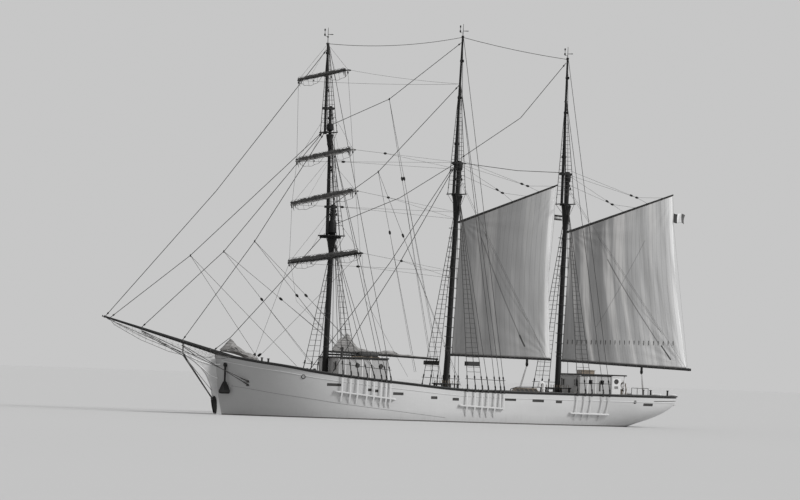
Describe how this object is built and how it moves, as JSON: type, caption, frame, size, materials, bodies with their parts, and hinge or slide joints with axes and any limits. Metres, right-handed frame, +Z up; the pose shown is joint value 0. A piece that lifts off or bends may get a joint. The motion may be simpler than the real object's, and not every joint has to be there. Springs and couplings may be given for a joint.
{
  "type": "three-masted sailing ship",
  "caption": "Wooden-style sailing ship afloat: pale hull, dark rail, yards with furled sails on the foremast, gaff sails set on the main and mizzen.",
  "frame": {"origin": "on the centreline amidships at the waterline", "axes": "+X towards the bow, +Y to port, +Z up"},
  "size_m": [39.4298, 12.597, 27.7206],
  "materials": {
    "hull_paint": "satin white hull paint, weathered",
    "keel_paint": "satin grey-white paint on the head knee and stem",
    "rail_paint": "black gloss rail paint, worn",
    "deck_wood": "laid planks, scrubbed",
    "spar_paint": "black paint on masts and spars",
    "sail_cloth": "heavy sailcloth, sewn in panels",
    "house_paint": "light house paint",
    "roof_paint": "white paint",
    "varnished_wood": "varnished",
    "galvanised_steel": "galvanised, rust-stained",
    "rigging_wire": "served wire rope",
    "bottom_paint": "bottom paint",
    "bronze": "cast bronze"
  },
  "bodies": {
    "hull": {"hull": "hull_paint", "bulwarks": "hull_paint", "rail_cap": "rail_paint", "keel_and_stem": "keel_paint", "deck_planking": "deck_wood", "bowsprit": "spar_paint", "bowsprit_bitts": "rail_paint", "foremast_lower": "spar_paint", "mainmast_lower": "spar_paint", "mizzenmast_lower": "spar_paint", "fore_topmast": "spar_paint", "fore_topgallant_mast": "spar_paint", "main_topmast": "spar_paint", "mizzen_topmast": "spar_paint", "fore_crosstrees": "spar_paint", "main_crosstrees": "spar_paint", "mizzen_crosstrees": "spar_paint", "fore_top": "spar_paint", "headsail_lowered": "sail_cloth", "fore_house_walls": "house_paint", "fore_house_roof": "roof_paint", "aft_house_walls": "house_paint", "aft_house_roof": "roof_paint", "windlass": "galvanised_steel", "skylight": "varnished_wood", "main_hatch": "roof_paint", "cowl_vent": "roof_paint", "pinrail_bitts": "rail_paint", "anchor_port": "galvanised_steel", "anchor_starboard": "galvanised_steel", "wheel_stand": "varnished_wood", "fore_topgallant_stay": "rigging_wire", "fore_topmast_stay": "rigging_wire", "inner_topmast_stay": "rigging_wire", "forestay": "rigging_wire", "main_stay": "rigging_wire", "mizzen_topmast_stay": "rigging_wire", "bobstay": "rigging_wire", "shrouds": "rigging_wire"},
    "main_sail_set": {"main_boom": "spar_paint", "main_gaff": "spar_paint", "main_sail": "sail_cloth"},
    "mizzen_sail_set": {"mizzen_boom": "spar_paint", "mizzen_gaff": "spar_paint", "mizzen_sail": "sail_cloth"},
    "staysail_set": {"staysail_boom": "spar_paint", "staysail_lowered": "sail_cloth"},
    "lower_yard_set": {"yard_lower": "spar_paint", "furled_lower": "sail_cloth"},
    "lower_topsail_yard_set": {"yard_lower_topsail": "spar_paint", "furled_lower_topsail": "sail_cloth"},
    "upper_topsail_yard_set": {"yard_upper_topsail": "spar_paint", "furled_upper_topsail": "sail_cloth"},
    "topgallant_yard_set": {"yard_topgallant": "spar_paint", "furled_topgallant": "sail_cloth"},
    "fore_door": {"fore_house_door": "varnished_wood"},
    "aft_door": {"aft_house_door": "varnished_wood"},
    "helm": {"steering_wheel": "varnished_wood"},
    "rudder_blade": {"rudder": "bottom_paint"},
    "screw": {"propeller": "bronze"}
  },
  "joints": [
    {"name": "main_boom_swing", "type": "hinge", "parent": "hull", "child": "main_sail_set", "pos_m": [-0.69021, 0, 4.15], "axis": [-0.0299, 0, 0.9996], "range_deg": [-45, 45]},
    {"name": "mizzen_boom_swing", "type": "hinge", "parent": "hull", "child": "mizzen_sail_set", "pos_m": [-8.2912, 0, 4.05], "axis": [-0.0183, 0, 0.9998], "range_deg": [-45, 45]},
    {"name": "staysail_boom_swing", "type": "hinge", "parent": "hull", "child": "staysail_set", "pos_m": [7.41357, 0, 4.07], "axis": [-0.0168, 0, 0.9999], "range_deg": [-25, 25]},
    {"name": "lower_yard_brace", "type": "hinge", "parent": "hull", "child": "lower_yard_set", "pos_m": [7.31773, 0, 9.78], "axis": [-0.0168, 0, 0.9999], "range_deg": [-35, 35]},
    {"name": "lower_topsail_yard_brace", "type": "hinge", "parent": "hull", "child": "lower_topsail_yard_set", "pos_m": [7.62284, 0, 13.47], "axis": [0.0101, 0, 0.9999], "range_deg": [-35, 35]},
    {"name": "upper_topsail_yard_brace", "type": "hinge", "parent": "hull", "child": "upper_topsail_yard_set", "pos_m": [7.64911, 0, 16.08], "axis": [0.0101, 0, 0.9999], "range_deg": [-35, 35]},
    {"name": "topgallant_yard_brace", "type": "hinge", "parent": "hull", "child": "topgallant_yard_set", "pos_m": [7.99989, 0, 21.01], "axis": [0.0028, 0, 1], "range_deg": [-35, 35]},
    {"name": "fore_door_hinge", "type": "hinge", "parent": "hull", "child": "fore_door", "pos_m": [3.964, -0.892, 2.5], "axis": [0, 0, 1], "range_deg": [0, 100]},
    {"name": "aft_door_hinge", "type": "hinge", "parent": "hull", "child": "aft_door", "pos_m": [-11.266, -0.892, 2.3], "axis": [0, 0, 1], "range_deg": [0, 100]},
    {"name": "rudder_turn", "type": "hinge", "parent": "hull", "child": "rudder_blade", "pos_m": [-12.25, 0, -1.6], "axis": [0, 0, 1], "range_deg": [-35, 35]},
    {"name": "helm_turn", "type": "hinge", "parent": "hull", "child": "helm", "pos_m": [-12.85, 0, 2.33], "axis": [1, 0, 0], "range_deg": [-720, 720]},
    {"name": "propeller_spin", "type": "hinge", "parent": "hull", "child": "screw", "pos_m": [-11.56, 0, -1.75], "axis": [1, 0, 0], "continuous": true}
  ]
}
